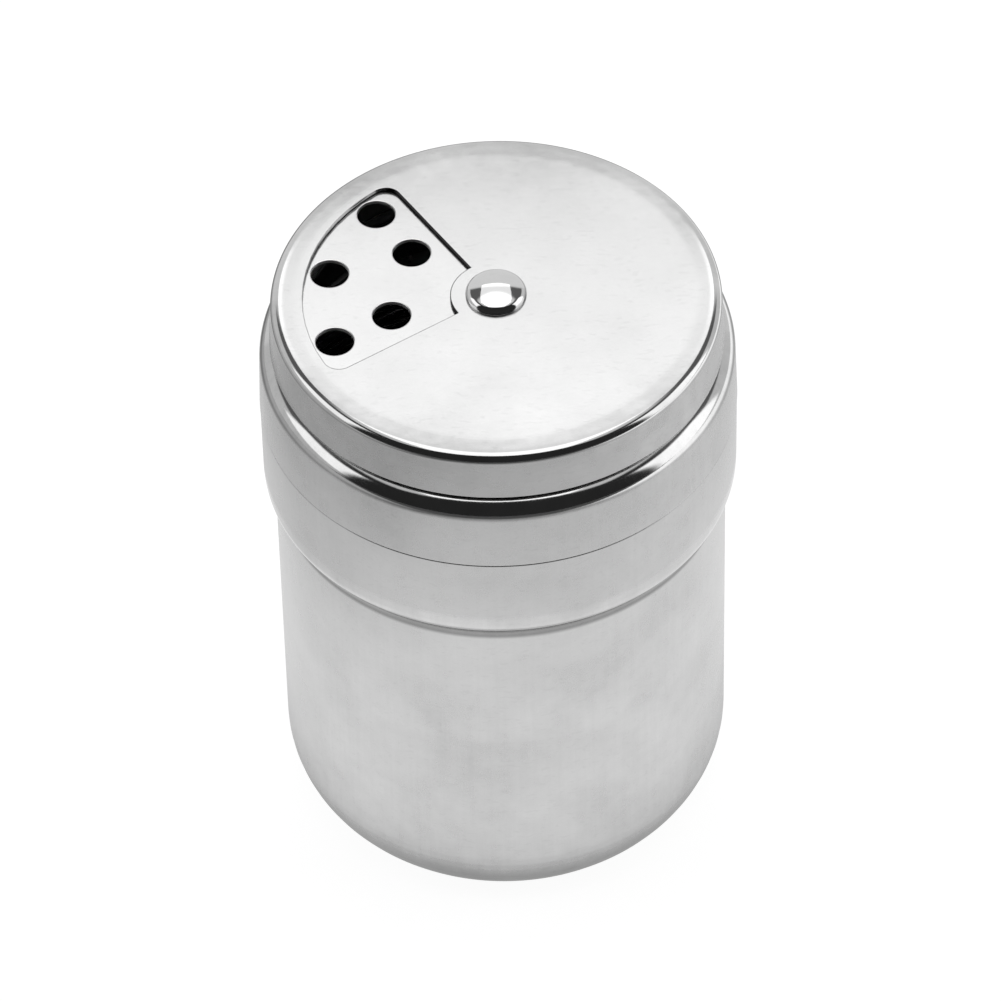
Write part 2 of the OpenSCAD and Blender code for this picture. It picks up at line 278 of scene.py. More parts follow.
# %% [markdown]
# The jar
# The jar is drawn from one disc: a flat base, a bottom corner that rounds in two radii, a straight wall,
# a step out to the collar, a shoulder that the lid meets, and a neck with a rolled thread and a folded
# lip. A thread could be cut with a boolean, but a rolled thread shows on both sides of the sheet, so the
# rings of the neck are pushed outwards along a helix, inside and outside alike.

# %% Outline of the jar
JAR_R = 28.6
JAR_H = 65.72
NECK_R = 27.2
STEP_MIDDLE_Z = 53.1
STEP_ANGLE = math.radians(40)
STEP_R = 2.4
BOTTOM_ANGLE = math.radians(41)
BOTTOM_WIDE_R = 11.5
BOTTOM_TIGHT_R = 2.75
HEM_H = 1.5
HEM_R = 0.45
COLLAR_EDGE_R = 0.2
NECK_ROOT_R = 0.4

step_half_h = (collar_r - JAR_R) / math.tan(STEP_ANGLE) / 2
bottom_slope = (BOTTOM_WIDE_R * math.tan(BOTTOM_ANGLE / 2)
                + BOTTOM_TIGHT_R * math.tan((math.pi / 2 - BOTTOM_ANGLE) / 2))
base_corner_r = JAR_R - bottom_slope * math.sin(BOTTOM_ANGLE)
hem_bottom = neck_top - HEM_H
jar_outside = [
    (0, base_z, 0),
    (base_corner_r, base_z, BOTTOM_TIGHT_R),
    (JAR_R, base_z + bottom_slope * math.cos(BOTTOM_ANGLE), BOTTOM_WIDE_R),
    (JAR_R, STEP_MIDDLE_Z - step_half_h, STEP_R),
    (collar_r, STEP_MIDDLE_Z + step_half_h, STEP_R),
    (collar_r, JAR_H, COLLAR_EDGE_R),
    (NECK_R, JAR_H, NECK_ROOT_R),
    (NECK_R, hem_bottom, 0),
]
lip = [
    (NECK_R, neck_top, HEM_R),
    (NECK_R - 2 * SHEET, neck_top, HEM_R),
    (NECK_R - 2 * SHEET, hem_bottom, 0),
]
print("the base is", round(2 * base_corner_r, 1), "mm across at its corner")

# %% The rolled thread
THREAD_LEAD = 3.2
THREAD_H = 0.8
THREAD_FOOT_W = 1.8
THREAD_CREST_W = 1.0
THREAD_FADE_TURNS = 30 / 360
GROOVE_NARROWING = 0.6
THREAD_MARGIN = 0.1
NECK_THREAD_TURNS = 1.25
THREAD_RING_STEP = 0.2
THREAD_LAPS = 3
UPRIGHT_SLACK = 0.001


def smooth(x):
    """0 below 0, 1 above 1, and an S-curve between."""
    x = min(1, max(0, x))
    return x * x * (3 - 2 * x)


def ridge(angle, height, start_turn, start_z, turns, narrowing=0):
    """Height of a helical ridge at one place on a wall."""
    tallest = 0
    for lap in range(THREAD_LAPS):
        turn = angle / (2 * math.pi) + lap - start_turn
        if not 0 < turn < turns:
            continue
        off = abs(height - start_z - THREAD_LEAD * turn)
        foot = (THREAD_FOOT_W - narrowing) / 2
        flank = (THREAD_FOOT_W - THREAD_CREST_W) / 2
        rise = min(1, turn / THREAD_FADE_TURNS, (turns - turn) / THREAD_FADE_TURNS)
        tallest = max(tallest, THREAD_H * rise * smooth((foot - off) / flank))
    return tallest


def split_upright(points, low, high):
    """The same points, with more of them on upright stretches between two heights."""
    out = [points[0]]
    for start, end in zip(points, points[1:]):
        upright = abs(end.x - start.x) < UPRIGHT_SLACK
        if upright and min(start.y, end.y) > low and max(start.y, end.y) < high:
            count = math.ceil((end - start).length / THREAD_RING_STEP)
            out += [start.lerp(end, k / count) for k in range(1, count)]
        out.append(end)
    return out


neck_thread_start = hem_bottom - THREAD_FOOT_W / 2 - THREAD_MARGIN - NECK_THREAD_TURNS * THREAD_LEAD


def neck_thread(radius, angle, height):
    in_wall = NECK_R - SHEET - SUPPORT < radius < NECK_R + SUPPORT
    if not (in_wall and JAR_H < height < hem_bottom):
        return 0
    narrowing = 0 if radius > NECK_R - SHEET / 2 else GROOVE_NARROWING
    return ridge(angle, height, 0, neck_thread_start, NECK_THREAD_TURNS, narrowing)


print("the thread starts at", round(neck_thread_start, 2), "mm and runs", NECK_THREAD_TURNS, "turns")

# %% Make the jar
jar_inside = list(reversed(rounded(moved(jar_outside, SHEET))))
jar_profile = supported(rounded(jar_outside + lip) + jar_inside)
jar_profile = split_upright(jar_profile, JAR_H, hem_bottom + SUPPORT)
jar_mesh = bmesh.new()
turn_profile(jar_mesh, jar_profile, push=neck_thread)
jar = finish_piece("jar_shell", jar_mesh, "jar_body", "jar")

# %% [markdown]
# Punched sheets
# The sifter plate and the cover are flat sheets with holes. A press punches each hole and drags the top
# edge in a little, so the edge is rolled and catches a line of light. A boolean would leave sharp edges
# and stray points. Here the rolled edge and the wall of each hole are built as loops, and the flat sheet
# is filled between them.

# %% Punch and fill a flat sheet
ROLL_STEPS = 5
ROLL_FLATNESS = 0.35


def punch(bm, outline, top, underside, roll):
    """The rolled edge and the wall of one hole. Returns its outermost loops, above and below.

    outline(grow) gives the points of the hole, moved outwards by a length.
    """
    def loop(grow, height):
        return [bm.verts.new(Vector((p.x, p.y, height)) * MM) for p in outline(grow)]

    loops = [loop(roll + SUPPORT, top)]
    for k in range(ROLL_STEPS + 1):
        angle = math.pi / 2 * k / ROLL_STEPS
        drop = ROLL_FLATNESS * roll * (1 - math.cos(angle))
        loops.append(loop(roll * (1 - math.sin(angle)), top - drop))
    loops += [loop(0, underside), loop(SUPPORT, underside)]
    for lower, upper in zip(loops, loops[1:]):
        skin(bm, lower, upper)
    return loops[0], loops[-1]


def fill_flat(bm, loops):
    """Fills the flat area between an outer loop and the loops of its holes."""
    edges = []
    for loop in loops:
        for a, b in zip(loop, loop[1:] + loop[:1]):
            edges.append(bm.edges.get((a, b)) or bm.edges.new((a, b)))
    bmesh.ops.triangle_fill(bm, use_beauty=True, use_dissolve=False, edges=edges)


def round_hole(row_r, direction, radius, steps):
    """The outline of a round hole, as a function of how much it grows."""
    centre = row_r * Vector((math.cos(direction), math.sin(direction)))

    def outline(grow):
        angles = [2 * math.pi * k / steps for k in range(steps)]
        return [centre + (radius + grow) * Vector((math.cos(a), math.sin(a))) for a in angles]
    return outline


def punched_sheet(bm, side, holes, top, underside):
    """A turned sheet whose flat middle has holes, as pairs of an outline and the roll of its edge."""
    rings = turn_profile(bm, side, closed=False)
    upper, lower = [rings[0]], [rings[-1]]
    for outline, roll in holes:
        top_loop, underside_loop = punch(bm, outline, top, underside, roll)
        upper.append(top_loop)
        lower.append(underside_loop)
    fill_flat(bm, upper)
    fill_flat(bm, lower)


print("the edge of a hole rolls in", ROLL_STEPS, "steps")

# %% [markdown]
# The lid
# The lid is one pressed sheet too: the sifter plate on top, a riser, a rounded shoulder and a band that
# narrows a little upwards. Five large holes lie under the window, and rows of fine holes lie on the other
# side, so turning the cover chooses the grain.

# %% Outline of the lid
RISER_R = 26.6
PLATE_EDGE_R = 1.4
RISER_ROOT_R = 0.4
SHOULDER_R = 2.6
BAND_TAPER = 0.35
LINER_FIT = 0.05

shoulder_z = flange_top + LINER_FIT + SHEET
plate_underside = plate_top - SHEET
plate_flat_r = RISER_R - PLATE_EDGE_R - 2 * SUPPORT
lid_outside = [
    (plate_flat_r, plate_top, 0),
    (RISER_R, plate_top, PLATE_EDGE_R),
    (RISER_R, shoulder_z, RISER_ROOT_R),
    (lid_r - BAND_TAPER, shoulder_z, SHOULDER_R),
    (lid_r, lid_bottom, 0),
]
lid_inside = moved(lid_outside, -SHEET)


def sheet_profile(outside, inside):
    """A sheet's outside, its rounded lower edge and its inside, in one line."""
    edge = [(*outside[-1][:2], EDGE_ROUNDING), (*inside[-1][:2], EDGE_ROUNDING)]
    return supported(rounded(outside[:-1] + edge + inside[-2::-1]))


print("shoulder at", round(shoulder_z, 2), "mm, sifter plate at", round(plate_top, 2), "mm")

# %% Make the lid
LARGE_HOLE_R = 2.4
FINE_HOLE_R = 1.1
HOLES_DIRECTION = math.radians(166.7)
OUTER_ROW_R = 21.2
LARGE_ROW_PITCH = 7.95
OUTER_ROW_ANGLE = math.radians(32.5)
INNER_ROW_ANGLE = math.radians(25)
FINE_ROW_PITCH = 4.6
FINE_ROW_ANGLE = math.radians(64)
FINE_HOLES_OUTER = 6
FINE_ROWS = 3
HOLE_ROLL = 0.16
LARGE_STEPS = 48
FINE_STEPS = 28

sifter_holes = [(round_hole(0, 0, SHANK_HOLE_R, FINE_STEPS), HOLE_ROLL / 2)]
for i in (-1, 0, 1):
    direction = HOLES_DIRECTION + i * OUTER_ROW_ANGLE
    sifter_holes.append((round_hole(OUTER_ROW_R, direction, LARGE_HOLE_R, LARGE_STEPS), HOLE_ROLL))
for side in (-1, 1):
    direction = HOLES_DIRECTION + side * INNER_ROW_ANGLE
    row_r = OUTER_ROW_R - LARGE_ROW_PITCH
    sifter_holes.append((round_hole(row_r, direction, LARGE_HOLE_R, LARGE_STEPS), HOLE_ROLL))
for row in range(FINE_ROWS):
    count = FINE_HOLES_OUTER - row
    for i in range(count):
        direction = HOLES_DIRECTION + math.pi + FINE_ROW_ANGLE * (i / (count - 1) - 0.5)
        row_r = OUTER_ROW_R - row * FINE_ROW_PITCH
        sifter_holes.append((round_hole(row_r, direction, FINE_HOLE_R, FINE_STEPS), HOLE_ROLL))

lid_mesh = bmesh.new()
punched_sheet(lid_mesh, sheet_profile(lid_outside, lid_inside), sifter_holes, plate_top, plate_underside)
lid = finish_piece("sifter_lid", lid_mesh, "lid_shell", "lid")
print("sifter holes:", len(sifter_holes) - 1)

# %% [markdown]
# The cover
# The cover is a shallow cap with a conical skirt and a window shaped like a slice of a ring. Its edge
# slopes down a little before the rim, which is why the far edge of the disc looks darker in the
# photograph. The window's outline is a function of how much it grows, so the loops of its rolled edge
# stay parallel.

# %% Outline of the window
WINDOW_DIRECTION = math.radians(168)
WINDOW_HALF = math.radians(45)
WINDOW_INNER_R = 5.7
WINDOW_OUTER_R = 24.0
WINDOW_CORNER_R = 2.0
WINDOW_ROLL = 0.18


def window(grow):
    """Points of the window, clockwise from its inner arc, in the cover's frame."""
    corner_r = WINDOW_OUTER_R - WINDOW_CORNER_R
    outer_half = WINDOW_HALF - math.asin(WINDOW_CORNER_R / corner_r)
    inner_half = WINDOW_HALF + math.asin(grow / (WINDOW_INNER_R - grow))
    centre = Vector((0, 0))
    right_corner = corner_r * Vector((math.cos(outer_half), -math.sin(outer_half)))
    left_corner = corner_r * Vector((math.cos(outer_half), math.sin(outer_half)))
    corner_turn = math.pi / 2 + WINDOW_HALF - outer_half
    points = arc(centre, WINDOW_INNER_R - grow, inner_half, -2 * inner_half)
    points += arc(right_corner, WINDOW_CORNER_R + grow, -WINDOW_HALF - math.pi / 2, corner_turn)
    points += arc(centre, WINDOW_OUTER_R + grow, -outer_half, 2 * outer_half)[1:-1]
    points += arc(left_corner, WINDOW_CORNER_R + grow, outer_half, corner_turn)
    return [Matrix.Rotation(WINDOW_DIRECTION, 2) @ p for p in points]


print("window:", len(window(0)), "points")

# %% Make the cover
COVER_SHEET = 0.45
RIM_R = 1.15
SKIRT_TAPER = 0.4
EDGE_W = 3.0
EDGE_DROP = 0.15
EDGE_BEND_R = 15

rim_corner_r = skirt_foot_r - SKIRT_TAPER
cover_flat_r = WINDOW_OUTER_R + WINDOW_ROLL + 3 * SUPPORT
cover_outside = [
    (cover_flat_r, cover_top, 0),
    (rim_corner_r - EDGE_W, cover_top, EDGE_BEND_R),
    (rim_corner_r, cover_top - EDGE_DROP, RIM_R),
    (rim_corner_r + SKIRT_TAPER, skirt_foot_z, 0),
]
cover_inside = moved(cover_outside, -COVER_SHEET)
cover_holes = [
    (round_hole(0, 0, SHANK_HOLE_R, FINE_STEPS), HOLE_ROLL / 2),
    (window, WINDOW_ROLL),
]
cover_mesh = bmesh.new()
cover_side = sheet_profile(cover_outside, cover_inside)
punched_sheet(cover_mesh, cover_side, cover_holes, cover_top, cover_top - COVER_SHEET)
cover = finish_piece("window_cover", cover_mesh, "rotating_cover", "cover")

# %% [markdown]
# The rivet and its washers
# One domed rivet holds the cover on the lid and is also its pivot. Half an ellipse would be the quick way
# to its dome, but its reflections tell another shape: the softbox shows with nearly straight sides, and
# the side panels only as thin bands near the edge. So it is the cap of a sphere with a rounded edge.
# Below the plate a dished spring washer and a flat washer lie on the clinched tail. They pull the cover
# down, so it stays where it is turned.

# %% Make the rivet
SHANK_R = 2.0
TAIL_R = 3.1
CAP_R = 10
CAP_STEPS = 8
HEAD_EDGE_R = 1.0

edge_out = head_r - HEAD_EDGE_R
edge_z = head_top - CAP_R + math.sqrt((CAP_R - HEAD_EDGE_R) ** 2 - edge_out ** 2)
cap_angle = math.asin(edge_out / (CAP_R - HEAD_EDGE_R))
tail_h = backing_bottom - tail_bottom
rivet_profile = rounded([
    (0, tail_bottom, 0),
    (TAIL_R, tail_bottom, tail_h / 2),
    (TAIL_R, backing_bottom, EDGE_ROUNDING),
    (SHANK_R, backing_bottom, 0),
    (SHANK_R, cover_top, 0),
    (head_r, cover_top, EDGE_ROUNDING),
    (head_r, edge_z, 0),
])
rivet_profile += arc(Vector((edge_out, edge_z)), HEAD_EDGE_R, 0, math.pi / 2 - cap_angle)[1:]
for k in range(1, CAP_STEPS + 1):
    tilt = cap_angle * (1 - k / CAP_STEPS)
    rivet_profile.append(Vector((CAP_R * math.sin(tilt), head_top - CAP_R * (1 - math.cos(tilt)))))
rivet_mesh = bmesh.new()
turn_profile(rivet_mesh, rivet_profile, closed=False)
rivet = finish_piece("dome_rivet", rivet_mesh, "rivet", "lid")

# %% Make the washers and the seal
SPRING_T = 0.2
WASHER_ROUNDING = 0.06
SEAL_INNER_R = 26.4


def turned_ring(name, corners, rounding, node, body):
    """A plain ring whose section is a polygon with equal roundings."""
    bm = bmesh.new()
    turn_profile(bm, supported(rounded([(x, z, rounding) for x, z in corners], closed=True)))
    return finish_piece(name, bm, node, body)


spring = turned_ring("dished_washer", [
    (spring_r, spring_bottom),
    (spring_r, spring_bottom + SPRING_T),
    (SHANK_HOLE_R, spring_top),
    (SHANK_HOLE_R, spring_top - SPRING_T),
], WASHER_ROUNDING, "spring_washer", "lid")
backing = turned_ring("flat_washer", [
    (backing_r, backing_bottom),
    (backing_r, backing_top),
    (SHANK_HOLE_R, backing_top),
    (SHANK_HOLE_R, backing_bottom),
], WASHER_ROUNDING, "backing_washer", "lid")
seal = turned_ring("seal_ring", [
    (seal_r, seal_bottom),
    (seal_r, seal_top),
    (SEAL_INNER_R, seal_top),
    (SEAL_INNER_R, seal_bottom),
], 2 * WASHER_ROUNDING, "sealing_ring", "seal")

# %% [markdown]
# The threaded liner
# The lid's band is smooth outside, so its thread can't be rolled into the sheet. A moulded plastic ring
# inside the band carries it. It lines the band closely, so its outer side is the lid's own outline, moved
# in by the sheet.

# %% Make the liner
LINER_WALL = 1.15
LINER_THREAD_TURNS = 0.85
HALF_TURN = 0.5

liner_inner_r = liner_r - LINER_WALL
liner_thread_z = liner_bottom + THREAD_FOOT_W / 2 + THREAD_MARGIN
liner_start_turn = (liner_thread_z - neck_thread_start) / THREAD_LEAD + HALF_TURN


def liner_thread(radius, angle, height):
    if abs(radius - liner_inner_r) > SUPPORT or not liner_bottom < height < seal_top:
        return 0
    return -ridge(angle, height, liner_start_turn, liner_thread_z, LINER_THREAD_TURNS)


def band_r(height):
    return lid_r - BAND_TAPER * (height - lid_bottom) / (shoulder_z - lid_bottom)


lined = [
    (SEAL_INNER_R, shoulder_z, 0),
    (band_r(shoulder_z), shoulder_z, SHOULDER_R),
    (band_r(liner_bottom), liner_bottom, 0),
]
liner_outside = moved(lined, -SHEET - LINER_FIT)
liner_corners = liner_outside[:-1] + [
    (*liner_outside[-1][:2], EDGE_ROUNDING),
    (liner_inner_r, liner_bottom, EDGE_ROUNDING),
    (liner_inner_r, seal_top, 0),
    (SEAL_INNER_R, seal_top, 0),
]
liner_profile = split_upright(supported(rounded(liner_corners)), liner_bottom, seal_top + SUPPORT)
liner_mesh = bmesh.new()
turn_profile(liner_mesh, liner_profile, push=liner_thread)
liner = finish_piece("liner_ring", liner_mesh, "thread_liner", "lid")

# %% [markdown]
# Finishes as expressions
# A finish is a network of nodes. Wiring nodes by hand is slow to read, so one small class wraps a socket
# and lets Python's operators add the Math nodes: 1 - mask or 0.3 + 0.1 * cloud then read as formulas. All
# other nodes come from one method, which sets a node's settings first and its sockets afterwards.

# %% Sockets that can be calculated with
class Wire:
    """An output socket of a node tree. Arithmetic on it adds Math nodes."""

    def __init__(self, bench, socket):
        self.bench = bench
        self.socket = socket

    def calculate(self, operation, left, right):
        return self.bench.node("ShaderNodeMath", {"operation": operation}, {0: left, 1: right})

    def __add__(self, other):
        return self.calculate("ADD", self, other)

    def __radd__(self, other):
        return self.calculate("ADD", other, self)

    def __sub__(self, other):
        return self.calculate("SUBTRACT", self, other)

    def __rsub__(self, other):
        return self.calculate("SUBTRACT", other, self)

    def __mul__(self, other):
        return self.calculate("MULTIPLY", self, other)

    def __rmul__(self, other):
        return self.calculate("MULTIPLY", other, self)

    def __truediv__(self, other):
        return self.calculate("DIVIDE", self, other)

    def __pow__(self, other):
        return self.calculate("POWER", self, other)

    def __abs__(self):
        return self.calculate("ABSOLUTE", self, 0.0)

    def at_least(self, other):
        return self.calculate("MAXIMUM", self, other)


print("a wire can:", ", ".join(name.strip("_") for name in vars(Wire) if callable(vars(Wire)[name])))

# %% A bench that nodes are added to
class Bench:
    """A node tree, and one way to add a node to it."""

    def __init__(self, owner):
        owner.use_nodes = True
        self.tree = owner.node_tree
        self.tree.nodes.clear()

    def node(self, kind, settings=None, sockets=None, output=0):
        node = self.tree.nodes.new(kind)
        for name, value in (settings or {}).items():
            setattr(node, name, value)
        for name, value in (sockets or {}).items():
            if isinstance(value, Wire):
                self.tree.links.new(value.socket, node.inputs[name])
            else:
                node.inputs[name].default_value = value
        return Wire(self, node.outputs[output]) if node.outputs else None

    def place(self):
        return self.node("ShaderNodeTexCoord", output="Object")

    def parts(self, vector):
        """The three numbers of a vector."""
        return [self.node("ShaderNodeSeparateXYZ", {}, {"Vector": vector}, axis) for axis in "XYZ"]

    def from_axis(self, place):
        """Distance from the shaker's axis, in metres."""
        x, y = self.parts(place)[:2]
        return (x * x + y * y) ** 0.5

    def between(self, value, low, high):
        """0 below low, 1 above high, and an S-curve between. With low above high it runs the other way."""
        ends = {"Value": value, "From Min": low, "From Max": high}
        return self.node("ShaderNodeMapRange", {"interpolation_type": "SMOOTHSTEP"}, ends)

    def between_mm(self, length, low, high):
        """The same for a length, with both ends in millimetres."""
        return self.between(length, low * MM, high * MM)

    def noise(self, place, size, detail, turn=0.0):
        """Noise about 0. Its blobs have a size (x, y, z) in mm and are turned about the axis."""
        spot = self.node("ShaderNodeMapping", {"vector_type": "TEXTURE"}, {
            "Vector": place, "Rotation": (0, 0, turn), "Scale": [length * MM for length in size],
        })
        return self.node("ShaderNodeTexNoise", {}, {"Vector": spot, "Scale": 1.0, "Detail": detail}) - 0.5

    def grey(self, value):
        return self.node("ShaderNodeCombineColor", {}, {"Red": value, "Green": value, "Blue": value})

    def bump(self, height, micrometres):
        return self.node("ShaderNodeBump", {}, {"Distance": micrometres * MM * MM, "Height": height})

    def surface(self, sockets):
        """Closes a material with one shader."""
        shader = self.node("ShaderNodeBsdfPrincipled", {}, sockets)
        self.node("ShaderNodeOutputMaterial", {}, {"Surface": shader})


print("a bench can:", ", ".join(name.strip("_") for name in vars(Bench) if callable(vars(Bench)[name])))

# %% [markdown]
# Steel
# Satin stainless steel is a metal with a soft, grained surface. Seen closely it has faint clouds where it
# was wiped, streaks from the polishing wheel, small flecks, a fine grain and here and there a hair
# scratch. An image could hold all that, but noise of the right size does it at any distance. The patterns
# change the tone and the roughness a little, and the finer ones also go into a bump, because they catch
# the light.

# %% The patterns of satin steel
CLOUD = {"size": (12, 12, 12), "detail": 3.0}
BLOTCH = {"size": (2.6, 2.6, 2.6), "detail": 4.0}
GRAIN = {"size": (0.3, 0.3, 0.3), "detail": 2.0}
FLECK = {"size": (1.3, 0.45, 0.45), "detail": 1.0}
HAIR = {"size": (9, 0.2, 0.2), "detail": 0.0}
HAIR_TURNS = (0.5, 2.2)
STREAK_DETAIL = 3.0
print("clouds of", CLOUD["size"][0], "mm, blotches of", BLOTCH["size"][0], "mm")

# %% Mix the patterns into one finish
FLECK_LEVEL = (0.12, 0.2)
HAIR_LEVEL = (0.3, 0.36)
CLOUD_TONE = 0.4
BLOTCH_TONE = 0.2
STREAK_TONE = 0.14
GRAIN_TONE = 0.05
FLECK_TONE = 0.04
HAIR_TONE = 0.03
CLOUD_ROUGH = 0.5
BLOTCH_ROUGH = 0.5
STREAK_ROUGH = 0.4
SHINE_SMOOTH = 0.65
GRAIN_RELIEF = 0.15


def plain_zones(bench, place):
    return 0.0, 0.0


def steel(name, tone, satin, streak_mm, zones=plain_zones, wear=1.0, relief_um=7):
    """Satin steel. zones(bench, place) tells where it is polished and how much lighter or darker it is."""
    material = bpy.data.materials.new(name)
    bench = Bench(material)
    place = bench.place()
    shine, tint = zones(bench, place)
    cloud = bench.noise(place, **CLOUD)
    blotch = bench.noise(place, **BLOTCH)
    streak = bench.noise(place, streak_mm, STREAK_DETAIL)
    grain = bench.noise(place, **GRAIN)
    fleck = bench.between(bench.noise(place, **FLECK), *FLECK_LEVEL)
    hair = sum(bench.between(bench.noise(place, turn=turn, **HAIR), *HAIR_LEVEL) for turn in HAIR_TURNS)
    mottle = CLOUD_TONE * cloud + BLOTCH_TONE * blotch + STREAK_TONE * streak + GRAIN_TONE * grain
    marks = FLECK_TONE * fleck + HAIR_TONE * hair
    bright = (tone + tint) * (1 + wear * (mottle - marks))
    uneven = 1 + CLOUD_ROUGH * cloud + BLOTCH_ROUGH * blotch + STREAK_ROUGH * streak
    rough = satin * uneven * (1 - SHINE_SMOOTH * shine)
    relief = blotch + GRAIN_RELIEF * grain
    bench.surface({
        "Base Color": bench.grey(bright),
        "Metallic": 1.0,
        "Roughness": rough,
        "Normal": bench.bump(relief, relief_um),
    })
    print(name, len(material.node_tree.nodes), "nodes")
    return material


print("clouds change the tone by", CLOUD_TONE / 2, "up or down, streaks by", STREAK_TONE / 2)

# %% [markdown]
# Zones of the steel
# The press and the polishing wheel didn't leave the same finish all over. Bends are burnished, cut edges
# are rough, and what the lid hides is left dull. Some zones are painted shade: a dark line at the step, a
# darker foot, seam and neck on the jar, and dark edges in the cover's window. Each zone could be a material
# of its own, but its border would then be a hard line between faces. Here the height and the distance from
# the axis tell the zone, and it fades in and out.

# %% Steel for the jar
STEEL_TONE = 0.65
JAR_SATIN = 0.3
WALL_STREAK_MM = (0.9, 0.9, 22)
STEP_RISE = (51.3, 52.0)
STEP_FALL = (56.5, 55.0)
# The band of the step's dark line, which is painted shade
SHADE_LINE_RISE = (50.7, 51.5)
SHADE_LINE_FALL = (53.6, 53.0)
FOOT_FALL = (8, 2.5)
SEAM_RISE = (JAR_H - 0.3, JAR_H - 0.1)
NECK_RISE = (JAR_H + 0.1, JAR_H + 0.4)
# Painted shade: these darken the step's line, the foot, the seam under the lid and the neck
STEP_LINE_SHADE = -0.36
FOOT_SHADE = -0.13
SEAM_SHADE = -0.14
NECK_SHADE = -0.2
NECK_DULL = 1.5


def jar_zones(bench, place):
    """The bends at foot and step are burnished, and the neck is left dull. Painted shade darkens a line at
    the step, the foot, the seam and the neck.
    """
    z = bench.parts(place)[2]
    step = bench.between_mm(z, *STEP_RISE) * bench.between_mm(z, *STEP_FALL)
    line = bench.between_mm(z, *SHADE_LINE_RISE) * bench.between_mm(z, *SHADE_LINE_FALL)
    foot = bench.between_mm(z, *FOOT_FALL)
    neck = bench.between_mm(z, *NECK_RISE)
    seam = bench.between_mm(z, *SEAM_RISE)
    # Painted shade at the step's line, the foot, the seam and the neck
    tint = STEP_LINE_SHADE * line + FOOT_SHADE * foot + SEAM_SHADE * seam + NECK_SHADE * neck
    return step.at_least(foot) - NECK_DULL * neck, tint


jar.data.materials.append(steel("jar_satin_steel", STEEL_TONE, JAR_SATIN, WALL_STREAK_MM, jar_zones))

# %% Steel for the lid
LID_SATIN = 0.28
SHOULDER_RISE = (shoulder_z - 2.4, shoulder_z - 1.9)
PLATE_RISE = (plate_top - 0.3, plate_top - 0.1)
HOLE_FALL = (plate_top - 0.03, plate_top - 0.12)
PLATE_EDGE = (plate_flat_r + 0.2, plate_flat_r)
PLATE_TINT = 0.03
FLAT_DULL = 0.6
CUT_DULL = 2


def lid_zones(bench, place):
    """The shoulder is polished, the plate is a little lighter, and the cut sides of its holes are rough."""
    z = bench.parts(place)[2]
    cut = bench.between_mm(z, *HOLE_FALL) * bench.between_mm(bench.from_axis(place), *PLATE_EDGE)
    shoulder = bench.between_mm(z, *SHOULDER_RISE)
    plate = bench.between_mm(z, *PLATE_RISE)
    return shoulder * (1 - FLAT_DULL * plate) * (1 - cut) - CUT_DULL * cut, PLATE_TINT * plate


lid.data.materials.append(steel("lid_satin_steel", STEEL_TONE, LID_SATIN, WALL_STREAK_MM, lid_zones))

# %% Steel for the cover
DISC_STREAK_MM = (2.5, 1.2, 1.2)
COVER_RELIEF_UM = 4
rim_foot_z = cover_top - EDGE_DROP - RIM_R
disc_r = rim_corner_r - RIM_R
RIM_RISE = (rim_foot_z - 0.2, rim_foot_z + 0.3)
DISC_EDGE = (disc_r, disc_r - 0.6)
ROLL_FALL = (cover_top - 0.003, cover_top - 0.015)
CUT_FALL = (cover_top - 0.05, cover_top - 0.08)
WINDOW_EDGE = (WINDOW_OUTER_R + 0.4, WINDOW_OUTER_R - 0.8)
# Painted shade on the rolled edges and cut walls of the window and the rivet's hole
ROLL_SHADE = -0.6
CUT_WALL_SHADE = -0.045


def cover_zones(bench, place):
    """The rim is polished, the disc is smoother than the skirt, and the edges of the window and the rivet's
    hole get painted shade.
    """
    z = bench.parts(place)[2]
    radius = bench.from_axis(place)
    rim = bench.between_mm(z, *RIM_RISE)
    disc = bench.between_mm(radius, *DISC_EDGE)
    roll = bench.between_mm(z, *ROLL_FALL)
    cut = bench.between_mm(z, *CUT_FALL)
    # Painted shade: the edges inside the window's reach are darkened
    tint = bench.between_mm(radius, *WINDOW_EDGE) * (ROLL_SHADE * roll + CUT_WALL_SHADE * cut)
    return rim * (1 - FLAT_DULL * disc), tint


cover_finish = steel("cover_satin_steel", STEEL_TONE, LID_SATIN, DISC_STREAK_MM, cover_zones,
                     relief_um=COVER_RELIEF_UM)
cover.data.materials.append(cover_finish)

# %% [markdown]
# Bright and soft finishes
# The rivet is polished like a mirror, so it only needs a breath of unevenness. The washers are plain
# rolled steel with the rings of a lathe tool. The liner is moulded from natural white plastic and the
# seal from silicone: both let some light in, which a little subsurface scattering gives.

# %% The rivet and the washers
RIVET_TONE = 0.74
RIVET_SATIN = 0.06
RIVET_WEAR = 0.4
WASHER_TONE = 0.5
WASHER_ROUGH = 0.38
WASHER_CLOUD = {"size": (3, 3, 3), "detail": 3.0}
WASHER_CLOUD_TONE = 0.12
WASHER_CLOUD_ROUGH = 0.2
TOOL_RINGS = {"size": (0.16, 0.16, 0.16), "detail": 2.0}
TOOL_RINGS_TONE = 0.08
TOOL_RINGS_ROUGH = 0.1
TOOL_RINGS_UM = 6

rivet_finish = steel("rivet_mirror_steel", RIVET_TONE, RIVET_SATIN, DISC_STREAK_MM, wear=RIVET_WEAR)
rivet.data.materials.append(rivet_finish)


